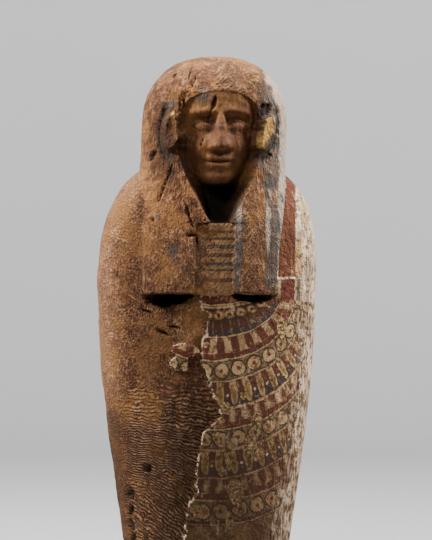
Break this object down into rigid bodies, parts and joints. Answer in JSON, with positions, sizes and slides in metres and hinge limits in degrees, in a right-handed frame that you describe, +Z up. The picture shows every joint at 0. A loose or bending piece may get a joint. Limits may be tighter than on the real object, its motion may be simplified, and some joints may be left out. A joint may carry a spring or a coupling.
{
  "type": "mummiform statuette",
  "caption": "Carved and painted wooden standing figure, wrapped to the feet, with a three-part wig and a patterned collar, on a low rectangular base.",
  "frame": {"origin": "middle of the base's underside", "axes": "+Z up along the standing figure; the figure faces -Y; +X is to the right of someone who faces it"},
  "size_m": [0.14, 0.24, 0.564],
  "materials": {
    "painted_wood": "old carved wood with worn matt paint over a thin white ground",
    "base_wood": "plain dry old wood, matt"
  },
  "bodies": {
    "root": {"figure": "painted_wood", "base": "base_wood"}
  },
  "joints": []
}
